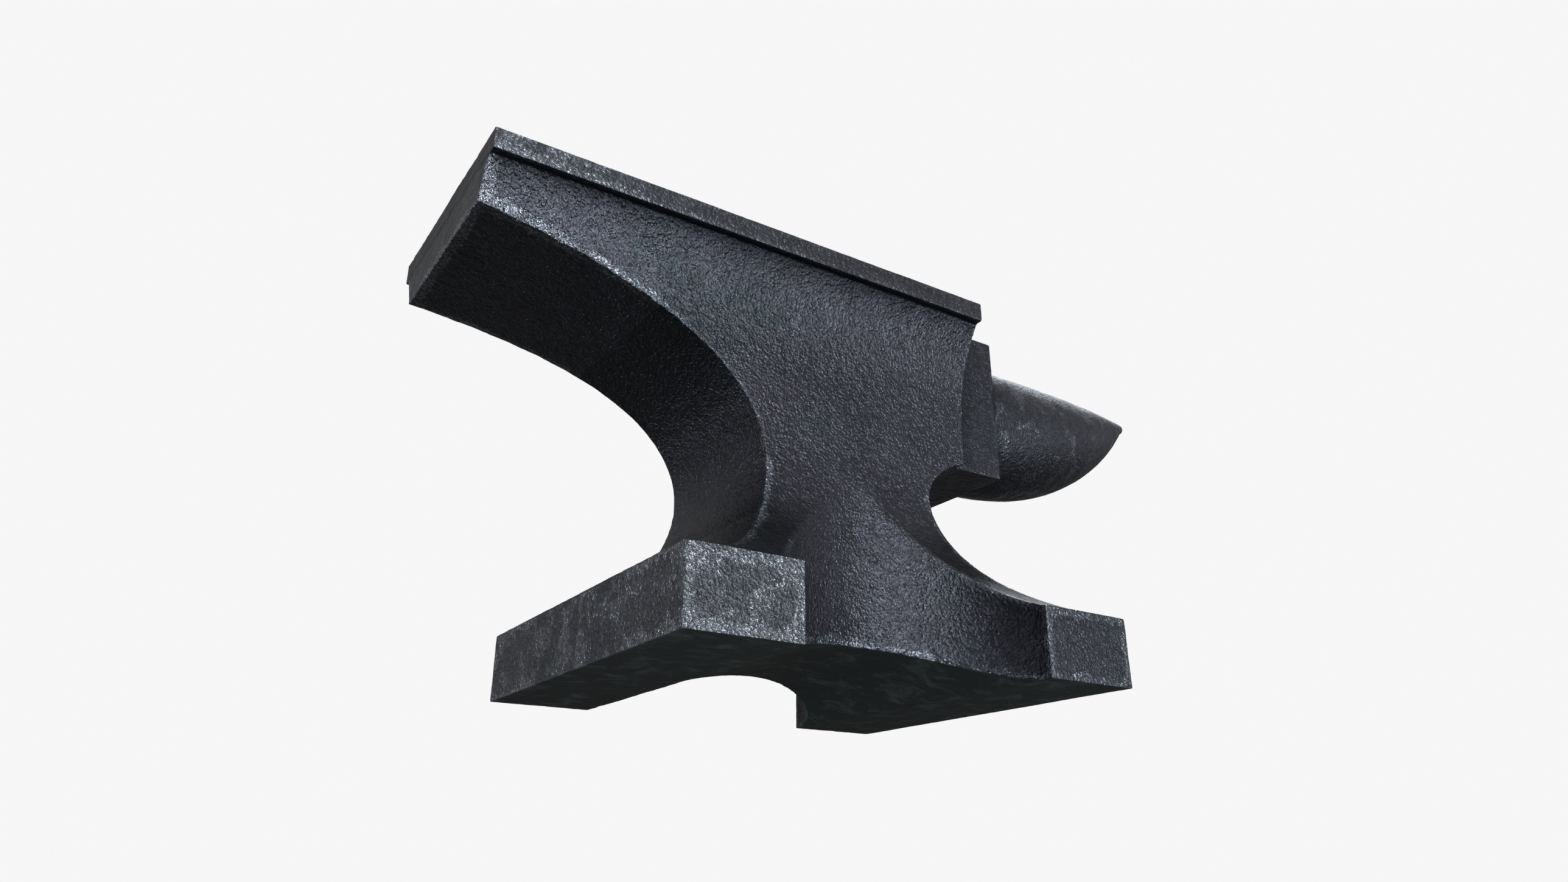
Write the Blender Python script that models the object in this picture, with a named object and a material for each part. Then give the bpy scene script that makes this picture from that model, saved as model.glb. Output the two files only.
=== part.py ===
"""A blacksmith's anvil, built as a forge-welded one is: a wrought core, four corner feet,
a projecting heel, a table block, a round horn and a hardened steel face plate.

Metres, +Z up. The origin is the middle of the overall box, on the ground. +X runs from the
heel to the horn's tip, and the anvil is mirror-symmetric about the plane Y = 0.
"""

import math

import bmesh
import bpy
from mathutils import Vector

# Overall sizes
BASE_LENGTH = 0.2800
BASE_WIDTH = 0.2400
FACE_HEIGHT = 0.2460
HEEL_OVERHANG = 0.0912
HORN_OVERHANG = 0.1725
OVERALL_LENGTH = HEEL_OVERHANG + BASE_LENGTH + HORN_OVERHANG

# Places along X
HEEL_END = -OVERALL_LENGTH / 2
BASE_HEEL_END = HEEL_END + HEEL_OVERHANG
BASE_HORN_END = BASE_HEEL_END + BASE_LENGTH
BASE_MIDDLE = (BASE_HEEL_END + BASE_HORN_END) / 2
HORN_TIP = OVERALL_LENGTH / 2
BODY_HORN_END = BASE_HEEL_END + 0.2298
TABLE_LENGTH = 0.0361
TABLE_END = BODY_HORN_END + TABLE_LENGTH
HEEL_WELD = BASE_HEEL_END + 0.0140

# Face plate
PLATE_WIDTH = 0.1560
PLATE_THICKNESS = 0.0126
PLATE_EDGE_BREAK = 0.0004

# Base: four feet, an arch under the middle and a recess in each side
FOOT_LENGTH = 0.0622
FOOT_HEIGHT = 0.0389
FOOT_WELD_INSET = 0.0664
ARCH_RISE = 0.0185
RECESS_DEPTH = 0.0660
RECESS_SQUARENESS = 1.8

# Waist
WAIST_HALF_WIDTH = 0.0527
WAIST_HALF_LENGTH = 0.0575
SIDE_FLARE_TOP = 0.1450
END_FLARE_TOP = 0.1150
BODY_TOP_HALF_WIDTH = 0.0732
COVE_START = 0.1500
COVE_POWER = 2.9
SIDE_FLARE = (0.80, 2.70)
END_FLARE = (0.60, 1.75)
HEEL_END_BOTTOM = 0.2117
SHOULDER_BOTTOM = 0.1432

# Table block and horn
TABLE_HALF_WIDTH = 0.0470
TABLE_BOTTOM = 0.1422
TABLE_TOP = 0.2398
HORN_ROOT_RADIUS = 0.0453
HORN_TIP_RADIUS = 0.0039
HORN_TAPER = (2.6, 1.0)
HORN_SIDES = 40
HORN_RINGS = 14
HORN_TIP_RINGS = 4

# Tool sockets in the face
HARDY_WIDTH = 0.0250
HARDY_DEPTH = 0.0330
HARDY_X = BASE_HEEL_END - 0.0360
PRITCHEL_RADIUS = 0.0070
PRITCHEL_DEPTH = 0.0260
PRITCHEL_X = BASE_HEEL_END - 0.0680
PRITCHEL_Y = 0.0320

# Gap left between two pieces that are welded face to face
WELD_GAP = 0.0003
# How far a cutter runs past what it cuts
OVERCUT = 0.0200


def clear_scene():
    for old in list(bpy.data.objects):
        bpy.data.objects.remove(old, do_unlink=True)


def material(name, color, roughness, metallic=1.0):
    made = bpy.data.materials.new(name)
    made.use_nodes = True
    shader = made.node_tree.nodes["Principled BSDF"]
    shader.inputs["Base Color"].default_value = (*color, 1.0)
    shader.inputs["Roughness"].default_value = roughness
    shader.inputs["Metallic"].default_value = metallic
    return made


def add_object(name, shape):
    """Puts a bmesh into the scene as an object, with its faces turned out."""
    bmesh.ops.recalc_face_normals(shape, faces=shape.faces)
    mesh = bpy.data.meshes.new(name)
    shape.to_mesh(mesh)
    shape.free()
    made = bpy.data.objects.new(name, mesh)
    bpy.context.collection.objects.link(made)
    return made


def prism(name, outline, axis, low, high):
    """A solid with this outline, drawn across the axis, from low to high along it.

    The outline's two numbers are the other two of X, Y and Z, in that order.
    """
    shape = bmesh.new()
    corners = []
    for point in outline:
        place = list(point)
        place.insert("XYZ".index(axis), low)
        corners.append(shape.verts.new(place))
    cap = shape.faces.new(corners)
    raised = bmesh.ops.extrude_face_region(shape, geom=[cap])
    shift = Vector([high - low if letter == axis else 0.0 for letter in "XYZ"])
    verts = [item for item in raised["geom"] if isinstance(item, bmesh.types.BMVert)]
    bmesh.ops.translate(shape, vec=shift, verts=verts)
    return add_object(name, shape)


def block(name, low, high):
    outline = [(low[0], low[1]), (high[0], low[1]), (high[0], high[1]), (low[0], high[1])]
    return prism(name, outline, "Z", low[2], high[2])


def as_cutter(tool):
    tool.hide_render = True
    tool.display_type = "WIRE"
    return tool


def combine(target, tool, operation):
    step = target.modifiers.new(f"{operation.lower()} {tool.name}", "BOOLEAN")
    step.operation = operation
    step.solver = "EXACT"
    step.object = tool


def bezier(start, leave, arrive, end, steps):
    """Points along a cubic curve, without its last one."""
    points = []
    for index in range(steps):
        t = index / steps
        weights = ((1 - t) ** 3, 3 * t * (1 - t) ** 2, 3 * t * t * (1 - t), t**3)
        curve = zip(weights, (start, leave, arrive, end))
        points.append(sum((weight * Vector(point) for weight, point in curve), Vector((0, 0))))
    return points


def flare(height, top, powers):
    """How far the base spreads at this height: 1 on top of the feet, 0 where the waist starts."""
    rise = (height - FOOT_HEIGHT) / (top - FOOT_HEIGHT)
    return (1 - rise ** powers[0]) ** powers[1]


def flare_heights(top, steps=14):
    """Heights from the top of the feet to the waist, closest together at the feet."""
    return [FOOT_HEIGHT + (top - FOOT_HEIGHT) * (index / steps) ** 1.6 for index in range(steps + 1)]


def body_half_width(height):
    if height <= SIDE_FLARE_TOP:
        spread = BASE_WIDTH / 2 - WAIST_HALF_WIDTH
        return WAIST_HALF_WIDTH + spread * flare(height, SIDE_FLARE_TOP, SIDE_FLARE)
    cove = max(0.0, height - COVE_START) / (FACE_HEIGHT - PLATE_THICKNESS - COVE_START)
    return WAIST_HALF_WIDTH + (BODY_TOP_HALF_WIDTH - WAIST_HALF_WIDTH) * cove**COVE_POWER


def end_view_outline():
    """The body seen from the horn: (Y, Z) points, all the way round."""
    top = FACE_HEIGHT - PLATE_THICKNESS
    heights = [0.0] + flare_heights(SIDE_FLARE_TOP)
    heights += [COVE_START + (top - COVE_START) * index / 8 for index in range(9)]
    right = [(body_half_width(max(height, FOOT_HEIGHT)), height) for height in heights]
    left = [(-half, height) for half, height in reversed(right)]
    return right + left


def side_view_outline():
    """The body seen from its near side: (X, Z) points, all the way round."""
    top = FACE_HEIGHT - PLATE_THICKNESS
    spread = BASE_LENGTH / 2 - WAIST_HALF_LENGTH
    ends = []
    for height in flare_heights(END_FLARE_TOP):
        spread_here = spread * flare(height, END_FLARE_TOP, END_FLARE)
        ends.append((WAIST_HALF_LENGTH + spread_here, height))
    waist_heel = BASE_MIDDLE - WAIST_HALF_LENGTH
    waist_horn = BASE_MIDDLE + WAIST_HALF_LENGTH
    horn_flare = [(BASE_MIDDLE + half, z) for half, z in ends[:-1]]
    heel_flare = [(BASE_MIDDLE - half, z) for half, z in reversed(ends[:-1])]
    shoulder = bezier(
        (waist_horn, END_FLARE_TOP),
        (waist_horn + 0.0030, END_FLARE_TOP + 0.0120),
        (BODY_HORN_END - 0.0175, SHOULDER_BOTTOM - 0.0040),
        (BODY_HORN_END, SHOULDER_BOTTOM),
        8,
    )
    under_heel = bezier(
        (HEEL_END, HEEL_END_BOTTOM),
        (HEEL_END + 0.1050, HEEL_END_BOTTOM - 0.0107),
        (waist_heel, END_FLARE_TOP + 0.0530),
        (waist_heel, END_FLARE_TOP),
        16,
    )
    outline = [(BASE_HEEL_END, 0.0), (BASE_HORN_END, 0.0)] + horn_flare + shoulder
    outline += [(BODY_HORN_END, SHOULDER_BOTTOM), (BODY_HORN_END, top), (HEEL_END, top)]
    return outline + under_heel + [(waist_heel, END_FLARE_TOP)] + heel_flare


def arch_outline(steps=20):
    """The hollow under the base between the feet: an arc of a circle, (X, Z) points."""
    half = BASE_LENGTH / 2 - FOOT_LENGTH
    radius = (half**2 + ARCH_RISE**2) / (2 * ARCH_RISE)
    swing = math.asin(half / radius)
    points = [(BASE_MIDDLE - half, -OVERCUT), (BASE_MIDDLE + half, -OVERCUT)]
    for index in range(steps + 1):
        turn = swing - 2 * swing * index / steps
        height = ARCH_RISE - radius + radius * math.cos(turn)
        points.append((BASE_MIDDLE + radius * math.sin(turn), height))
    return points


def recess_outline(side, steps=28):
    """The hollow in one side between two feet, seen from above: (X, Y) points."""
    half = BASE_LENGTH / 2 - FOOT_LENGTH
    face = BASE_WIDTH / 2
    points = [(BASE_MIDDLE + half, side * (face + OVERCUT))]
    for index in range(steps + 1):
        turn = math.pi * index / steps
        along = math.copysign(abs(math.cos(turn)) ** (2 / RECESS_SQUARENESS), math.cos(turn))
        depth = RECESS_DEPTH * abs(math.sin(turn)) ** (2 / RECESS_SQUARENESS)
        points.append((BASE_MIDDLE + half * along, side * (face - depth)))
    return points + [(BASE_MIDDLE - half, side * (face + OVERCUT))]


def body_cutters():
    """The shapes that turn a plain extruded side view into the anvil's body."""
    far = OVERALL_LENGTH / 2 + OVERCUT
    wide = BASE_WIDTH / 2 + OVERCUT
    ends = prism("end_view", end_view_outline(), "X", -far, far)
    arch = prism("arch", arch_outline(), "Y", -wide, wide)
    recesses = []
    for name, side in (("near_recess", -1), ("far_recess", 1)):
        tool = prism(name, recess_outline(side), "Z", -OVERCUT, END_FLARE_TOP + OVERCUT)
        recesses.append(as_cutter(tool))
    return as_cutter(ends), as_cutter(arch), recesses


def body_blank(name, cutters):
    """A new object with the whole body's shape, before it is divided into its pieces."""
    ends, arch, recesses = cutters
    wide = BASE_WIDTH / 2
    made = prism(name, side_view_outline(), "Y", -wide, wide)
    combine(made, ends, "INTERSECT")
    combine(made, arch, "DIFFERENCE")
    for recess in recesses:
        combine(made, recess, "DIFFERENCE")
    return made


def foot_region(name, end, side, clearance):
    """The box that holds one corner foot; end and side are each -1 or 1."""
    outer_x = BASE_MIDDLE + end * (BASE_LENGTH / 2 + OVERCUT)
    inner_x = BASE_MIDDLE + end * (BASE_LENGTH / 2 - FOOT_LENGTH - clearance)
    outer_y = side * (BASE_WIDTH / 2 + OVERCUT)
    inner_y = side * (BASE_WIDTH / 2 - FOOT_WELD_INSET - clearance)
    low = (min(outer_x, inner_x), min(outer_y, inner_y), -OVERCUT)
    high = (max(outer_x, inner_x), max(outer_y, inner_y), END_FLARE_TOP + OVERCUT)
    return as_cutter(block(name, low, high))


def heel_region(name, clearance):
    wide = BASE_WIDTH / 2 + OVERCUT
    low = (HEEL_END - OVERCUT, -wide, END_FLARE_TOP)
    high = (HEEL_WELD + clearance, wide, FACE_HEIGHT)
    return as_cutter(block(name, low, high))


def tool_sockets():
    """Cutters for the square hardy socket and the round pritchel socket."""
    half = HARDY_WIDTH / 2
    top = FACE_HEIGHT + OVERCUT
    low = (HARDY_X - half, -half, FACE_HEIGHT - HARDY_DEPTH)
    hardy = block("hardy_socket", low, (HARDY_X + half, half, top))
    circle = []
    for index in range(24):
        turn = math.tau * index / 24
        x = PRITCHEL_X + PRITCHEL_RADIUS * math.cos(turn)
        circle.append((x, PRITCHEL_Y + PRITCHEL_RADIUS * math.sin(turn)))
    pritchel = prism("pritchel_socket", circle, "Z", FACE_HEIGHT - PRITCHEL_DEPTH, top)
    return as_cutter(hardy), as_cutter(pritchel)


def make_feet(cutters, iron):
    for end_name, end in (("heel", -1), ("horn", 1)):
        for side_name, side in (("near", -1), ("far", 1)):
            name = f"foot_{end_name}_{side_name}"
            foot = body_blank(name, cutters)
            region = foot_region(f"{name}_region", end, side, 0.0)
            combine(foot, region, "INTERSECT")
            foot.data.materials.append(iron)


def make_core(cutters, iron):
    core = body_blank("waist_core", cutters)
    for end in (-1, 1):
        for side in (-1, 1):
            region = foot_region(f"corner_{end}_{side}", end, side, WELD_GAP)
            combine(core, region, "DIFFERENCE")
    combine(core, heel_region("heel_side", WELD_GAP), "DIFFERENCE")
    core.data.materials.append(iron)


def make_heel(cutters, sockets, iron):
    heel = body_blank("heel_block", cutters)
    combine(heel, heel_region("heel_region", 0.0), "INTERSECT")
    for socket in sockets:
        combine(heel, socket, "DIFFERENCE")
    heel.data.materials.append(iron)


def make_face_plate(sockets, steel):
    half = PLATE_WIDTH / 2
    low = (HEEL_END, -half, FACE_HEIGHT - PLATE_THICKNESS + WELD_GAP)
    plate = block("face_plate", low, (BODY_HORN_END, half, FACE_HEIGHT))
    edges = plate.modifiers.new("edge break", "BEVEL")
    edges.width = PLATE_EDGE_BREAK
    edges.segments = 2
    for socket in sockets:
        combine(plate, socket, "DIFFERENCE")
    plate.data.materials.append(steel)


def make_table_block(iron):
    half = TABLE_HALF_WIDTH
    low = (BODY_HORN_END + WELD_GAP, -half, TABLE_BOTTOM)
    table = block("table_block", low, (TABLE_END, half, TABLE_TOP))
    table.data.materials.append(iron)


def horn_radius(along):
    """The horn's radius at this part of its length, 0 at the root and 1 where its tip rounds off."""
    taper = (1 - along ** HORN_TAPER[0]) ** HORN_TAPER[1]
    return HORN_TIP_RADIUS + (HORN_ROOT_RADIUS - HORN_TIP_RADIUS) * taper


def horn_sections():
    """(X, height of the centre, radius) along the horn, whose upper line is level."""
    root = TABLE_END + WELD_GAP
    length = HORN_TIP - HORN_TIP_RADIUS - root
    sections = []
    for index in range(HORN_RINGS + 1):
        along = 1 - (1 - index / HORN_RINGS) ** 1.5
        radius = horn_radius(along)
        sections.append((root + length * along, TABLE_TOP - radius, radius))
    for index in range(1, HORN_TIP_RINGS):
        turn = math.pi / 2 * index / HORN_TIP_RINGS
        x = root + length + HORN_TIP_RADIUS * math.sin(turn)
        sections.append((x, TABLE_TOP - HORN_TIP_RADIUS, HORN_TIP_RADIUS * math.cos(turn)))
    return sections


def make_horn(iron):
    """A round beak that tapers along its lower line, closed by a small blunt tip."""
    shape = bmesh.new()
    rings = []
    for x, centre, radius in horn_sections():
        ring = []
        for index in range(HORN_SIDES):
            turn = math.tau * index / HORN_SIDES
            place = (x, radius * math.sin(turn), centre + radius * math.cos(turn))
            ring.append(shape.verts.new(place))
        rings.append(ring)
    for first, second in zip(rings, rings[1:]):
        for index in range(HORN_SIDES):
            shape.faces.new((first[index - 1], first[index], second[index], second[index - 1]))
    shape.faces.new(rings[0])
    tip = shape.verts.new((HORN_TIP, 0.0, TABLE_TOP - HORN_TIP_RADIUS))
    for index in range(HORN_SIDES):
        shape.faces.new((rings[-1][index - 1], rings[-1][index], tip))
    horn = add_object("horn", shape)
    horn.data.materials.append(iron)
    horn.data.shade_smooth()
    horn.data.set_sharp_from_angle(angle=math.radians(40))


def main():
    clear_scene()
    core_iron = material("core_iron", (0.20, 0.205, 0.22), 0.55)
    foot_iron = material("foot_iron", (0.30, 0.305, 0.32), 0.50)
    heel_iron = material("heel_iron", (0.17, 0.175, 0.19), 0.58)
    table_iron = material("table_iron", (0.22, 0.225, 0.24), 0.52)
    horn_iron = material("horn_iron", (0.23, 0.235, 0.245), 0.48)
    face_steel = material("face_steel", (0.42, 0.43, 0.45), 0.35)
    cutters = body_cutters()
    sockets = tool_sockets()
    make_feet(cutters, foot_iron)
    make_core(cutters, core_iron)
    make_heel(cutters, sockets, heel_iron)
    make_face_plate(sockets, face_steel)
    make_table_block(table_iron)
    make_horn(horn_iron)


main()
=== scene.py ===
"""Looks for a forge-welded blacksmith's anvil: one signed-distance field holds the whole forging,
a labelled grid divides it into the same nine pieces as the CAD model, and every piece gets
procedural iron. Metres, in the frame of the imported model.
"""

import itertools
import math

import bpy
import numpy as np
from mathutils import Matrix, Vector


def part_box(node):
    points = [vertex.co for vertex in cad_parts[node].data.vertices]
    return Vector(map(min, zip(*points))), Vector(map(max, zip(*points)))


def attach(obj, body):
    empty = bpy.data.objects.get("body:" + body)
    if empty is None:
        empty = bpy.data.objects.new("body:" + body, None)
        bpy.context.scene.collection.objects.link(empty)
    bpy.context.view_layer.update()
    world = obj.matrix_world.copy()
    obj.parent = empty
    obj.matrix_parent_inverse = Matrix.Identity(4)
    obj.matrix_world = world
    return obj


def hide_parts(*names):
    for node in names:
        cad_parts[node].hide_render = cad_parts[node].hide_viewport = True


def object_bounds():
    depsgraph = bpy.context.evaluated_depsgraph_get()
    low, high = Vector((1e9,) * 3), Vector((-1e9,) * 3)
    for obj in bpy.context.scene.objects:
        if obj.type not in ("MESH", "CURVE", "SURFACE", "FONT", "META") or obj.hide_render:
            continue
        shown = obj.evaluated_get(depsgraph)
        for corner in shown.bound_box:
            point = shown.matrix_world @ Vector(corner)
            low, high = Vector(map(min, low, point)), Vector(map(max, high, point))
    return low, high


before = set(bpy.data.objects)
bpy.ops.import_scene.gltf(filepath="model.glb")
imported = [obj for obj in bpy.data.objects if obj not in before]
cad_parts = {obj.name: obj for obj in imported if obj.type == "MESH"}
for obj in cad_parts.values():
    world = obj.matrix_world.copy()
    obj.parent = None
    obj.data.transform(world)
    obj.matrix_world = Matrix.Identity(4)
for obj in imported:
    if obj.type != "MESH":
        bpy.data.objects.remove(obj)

cad_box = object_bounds()

# ---------------------------------------------------------------- sizes
plate_low, plate_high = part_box("face_plate")
table_low, table_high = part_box("table_block")
horn_low, horn_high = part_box("horn")
heel_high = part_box("heel_block")[1]
heel_foot_low, heel_foot_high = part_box("foot_heel_near")

HEEL_END, BODY_HORN_END = plate_low.x, plate_high.x
BASE_HEEL_END, BASE_HORN_END = heel_foot_low.x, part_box("foot_horn_near")[1].x
BASE_MIDDLE = (BASE_HEEL_END + BASE_HORN_END) / 2
BASE_HALF_LENGTH = (BASE_HORN_END - BASE_HEEL_END) / 2
BASE_HALF_WIDTH = -heel_foot_low.y
FOOT_INNER = BASE_MIDDLE - heel_foot_high.x
FOOT_INSIDE_Y = -heel_foot_high.y
BODY_TOP = heel_high.z
TABLE_END = table_high.x
FACE_HEIGHT = plate_high.z

# The body's curves, as the CAD model has them
FOOT_HEIGHT = 0.0389
ARCH_RISE = 0.0185
RECESS_DEPTH = 0.0660
RECESS_SQUARENESS = 1.8
RECESS_TOP = 0.1350
WAIST_HALF_WIDTH = 0.0527
WAIST_HALF_LENGTH = 0.0575
SIDE_FLARE_TOP = 0.1450
END_FLARE_TOP = 0.1150
BODY_TOP_HALF_WIDTH = heel_high.y
COVE_START = 0.1500
COVE_POWER = 2.9
SIDE_FLARE = (0.80, 2.70)
END_FLARE = (0.60, 1.75)
HEEL_END_BOTTOM = 0.2117
SHOULDER_BOTTOM = 0.1432
HORN_ROOT_RADIUS = (horn_high.z - horn_low.z) / 2
HORN_TIP_RADIUS = 0.0039
HORN_TAPER = 2.6
HARDY_HALF_WIDTH = 0.0125
HARDY_DEPTH = 0.0330
HARDY_X = BASE_HEEL_END - 0.0360
PRITCHEL_RADIUS = 0.0070
PRITCHEL_DEPTH = 0.0260
PRITCHEL_X = BASE_HEEL_END - 0.0680
PRITCHEL_Y = 0.0320

# The handles of the curves under the heel and up the horn side, each from its own end
HEEL_HANDLE = (0.1050, -0.0107)
HEEL_WAIST_HANDLE = (0.0, 0.0530)
SHOULDER_HANDLE = (-0.0175, -0.0040)
SHOULDER_WAIST_HANDLE = (0.0030, 0.0120)

# How the surface is made
GRID_STEP = 0.0013
PROFILE_STEP = 0.0005
MARGIN = 0.0320
CORNER_WEAR = 0.0003
EDGE_WEAR = 0.0010
CREASE_WEAR = 0.0009
WELD_FILLET = 0.0008
WELD_OVERLAP = 0.0040
WAIST_SOFTNESS = 0.0050
WAIST_SOFT_REACH = 0.0220
SLOPE_REACH = 0.0002
MIDDLE_PULL = 0.02
FURTHEST_PULL = 1.2
SHARP_ANGLE = math.radians(38)

# Relief in the mesh: the height, size and random seed of each layer, and the chipped edges
SWELLS = ((0.00024, 0.0300, 1), (0.00008, 0.0110, 2))
PEBBLES = ((0.00018, 0.0050, 3), (0.00010, 0.0034, 5))
CHIP_DEPTH, CHIP_SIZE, CHIP_SEED, CHIP_RARITY = 0.0007, 0.0065, 4, 0.20
HASH_AXES = np.array([73856093, 19349663, 83492791])
HASH_SEED = 7919
HASH_MIX = 1274126177

# Wear and painted shade: how sharply the surface turns, per metre, where it is rubbed or painted in shade
SHARP_TURN = (60, 220)
# How sharply a concave crease turns where it gets painted shade
CREASE_SHADE_TURN = (70, 230)
# How far out the painted shade looks for open air round each point
OPEN_REACHES = (0.008, 0.016, 0.030)
TOP_DEPTH = 0.003

# Iron
BUMP_HEIGHT = 0.00105
CORE_TONE = (0.106, 0.107, 0.129)
# The heel block's iron is a lighter copy of the core's: a painted highlight
HEEL_PAINTED_HIGHLIGHT = 1.42
GREEN_TINT = (0.030, 0.068, 0.066)
BROWN_TINT = (0.085, 0.070, 0.052)
# The painted shade's colour
PAINTED_SHADE_COLOR = (0.012, 0.014, 0.018)
SOLE_DARK = (0.052, 0.060, 0.058)
SOLE_LIGHT = (0.130, 0.148, 0.142)
STEEL_DARK = (0.17, 0.175, 0.185)
STEEL_LIGHT = (0.42, 0.43, 0.45)
SCRATCH = (0.60, 0.61, 0.63)

# Studio
WHITE = (1, 1, 1)
BACKDROP = 0.925
FLOOR_REACH = 12.0
FLOOR_DROP = 0.0006
FLOOR_FADE = (0.35, 1.7)
SKY_STRENGTH = 0.28
SKY_RANGE = {"From Min": -0.55, "From Max": 0.65, "To Min": 0.04, "To Max": 1.0}
CAMERA_PLACE = (-0.38634, -0.51134, -0.09671)
CAMERA_LOOK = (0.50682, 0.77366, 0.38023)
FOCAL_LENGTH = 24.4425
SENSOR_WIDTH = 36
LAMP_COLOR = (0.88, 0.95, 1.0)

# Each lamp's place, target, size and watts
LAMPS = {
    "key": ((0.30, -1.35, -0.35), (-0.15, -0.10, 0.12), (0.40, 0.40), 8),
    "band": ((-0.30, -1.45, 0.42), (0.0, -0.06, 0.05), (0.20, 0.5), 5.4),
    "side": ((1.3, -0.7, 0.30), (0.0, -0.05, 0.08), (0.3, 0.4), 0.8),
    "top": ((-0.2, 0.1, 1.8), (0, 0, 0.1), (1.6, 1.2), 12),
    "heel_side": ((-1.6, 0.1, -0.25), (-0.1, 0, 0.05), (0.8, 0.6), 7),
    "back_rim": ((1.1, 1.0, 1.2), (0.1, 0, 0.15), (1.2, 1.0), 9),
    "back_fill": ((1.2, 1.6, 0.9), (0.0, 0, 0.12), (0.8, 0.8), 12),
}

# Pieces and their material slots, in the order of their labels in the grid; 0 is air
PIECES = {
    "waist_core": "core_iron",
    "heel_block": "heel_iron",
    "foot_heel_near": "foot_iron",
    "foot_heel_far": "foot_iron",
    "foot_horn_near": "foot_iron",
    "foot_horn_far": "foot_iron",
    "face_plate": "face_steel",
    "table_block": "table_iron",
    "horn": "horn_iron",
}


# ---------------------------------------------------------------- outlines
def flare(height, top, powers):
    """How far the base spreads at this height: 1 on top of the feet, 0 where the waist starts."""
    rise = np.clip((height - FOOT_HEIGHT) / (top - FOOT_HEIGHT), 0, 1)
    return (1 - rise ** powers[0]) ** powers[1]


def bezier(start, start_handle, end_handle, end, steps=48):
    """Points along a cubic curve; each handle is measured from its own end."""
    t = np.linspace(0, 1, steps)[:, None]
    start, end = np.array(start), np.array(end)
    points = (start, start + start_handle, end + end_handle, end)
    weights = ((1 - t) ** 3, 3 * t * (1 - t) ** 2, 3 * t * t * (1 - t), t**3)
    return sum(weight * point for weight, point in zip(weights, points))


def side_view_outline():
    """The body and its base seen from the near side, with the arch under it: (X, Z)."""
    heights = FOOT_HEIGHT + (END_FLARE_TOP - FOOT_HEIGHT) * np.linspace(0, 1, 40) ** 2
    spread = WAIST_HALF_LENGTH + (BASE_HALF_LENGTH - WAIST_HALF_LENGTH) * flare(
        heights, END_FLARE_TOP, END_FLARE
    )
    radius = (FOOT_INNER**2 + ARCH_RISE**2) / (2 * ARCH_RISE)
    swing = math.asin(FOOT_INNER / radius)
    turns = np.linspace(-swing, swing, 40)
    arch = np.column_stack(
        (BASE_MIDDLE + radius * np.sin(turns), ARCH_RISE - radius + radius * np.cos(turns))
    )
    waist_heel, waist_horn = BASE_MIDDLE - WAIST_HALF_LENGTH, BASE_MIDDLE + WAIST_HALF_LENGTH
    shoulder = bezier(
        (waist_horn, END_FLARE_TOP),
        SHOULDER_WAIST_HANDLE,
        SHOULDER_HANDLE,
        (BODY_HORN_END, SHOULDER_BOTTOM),
    )
    under_heel = bezier(
        (HEEL_END, HEEL_END_BOTTOM),
        HEEL_HANDLE,
        HEEL_WAIST_HANDLE,
        (waist_heel, END_FLARE_TOP),
    )
    return np.vstack(
        (
            [(BASE_HEEL_END, 0.0)],
            arch,
            [(BASE_HORN_END, 0.0)],
            np.column_stack((BASE_MIDDLE + spread, heights))[:-1],
            shoulder,
            [(BODY_HORN_END, BODY_TOP + WELD_OVERLAP), (HEEL_END, BODY_TOP + WELD_OVERLAP)],
            under_heel[:-1],
            np.column_stack((BASE_MIDDLE - spread, heights))[::-1],
        )
    )


def end_view_outline():
    """The body seen from the horn: (Y, Z), mirrored about Y = 0."""
    low = FOOT_HEIGHT + (SIDE_FLARE_TOP - FOOT_HEIGHT) * np.linspace(0, 1, 40) ** 2
    spread = BASE_HALF_WIDTH - WAIST_HALF_WIDTH
    high = np.linspace(COVE_START, BODY_TOP, 30)
    cove = ((high - COVE_START) / (BODY_TOP - COVE_START)) ** COVE_POWER
    half = np.concatenate(
        (
            [BASE_HALF_WIDTH],
            WAIST_HALF_WIDTH + spread * flare(low, SIDE_FLARE_TOP, SIDE_FLARE),
            WAIST_HALF_WIDTH + (BODY_TOP_HALF_WIDTH - WAIST_HALF_WIDTH) * cove,
        )
    )
    # The outline runs past the body, whose lowest and highest points the side view sets.
    half = np.append(half, BODY_TOP_HALF_WIDTH)
    right = np.column_stack((half, np.concatenate(([-MARGIN], low, high, [BODY_TOP + MARGIN]))))
    return np.vstack((right, right[::-1] * (-1, 1)))


def recess_outline():
    """The hollow in a side between two feet, seen from above: (X, distance from the middle)."""
    turns = np.linspace(0, math.pi, 120)
    power = 2 / RECESS_SQUARENESS
    along = np.sign(np.cos(turns)) * np.abs(np.cos(turns)) ** power
    depth = RECESS_DEPTH * np.abs(np.sin(turns)) ** power
    curve = np.column_stack((BASE_MIDDLE + FOOT_INNER * along, BASE_HALF_WIDTH - depth))
    outside = BASE_HALF_WIDTH + MARGIN
    first, last = (BASE_MIDDLE + FOOT_INNER, outside), (BASE_MIDDLE - FOOT_INNER, outside)
    return np.vstack(([first], curve, [last]))


# ---------------------------------------------------------------- the field
def outline_distance(u, v, outline):
    """Signed distance from each point to a closed outline, negative inside it."""
    nearest = np.full(np.broadcast(u, v).shape, np.inf)
    inside = np.zeros(nearest.shape, bool)
    for (au, av), (bu, bv) in zip(outline, np.roll(outline, -1, axis=0)):
        du, dv = bu - au, bv - av
        if du * du + dv * dv < 1e-16:
            continue
        share = np.clip(((u - au) * du + (v - av) * dv) / (du * du + dv * dv), 0, 1)
        gap = (u - au - share * du) ** 2 + (v - av - share * dv) ** 2
        nearest = np.minimum(nearest, gap)
        if dv:
            inside ^= ((v < av) != (v < bv)) & (u < au + (v - av) * du / dv)
    return np.where(inside, -1, 1) * np.sqrt(nearest)


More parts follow.
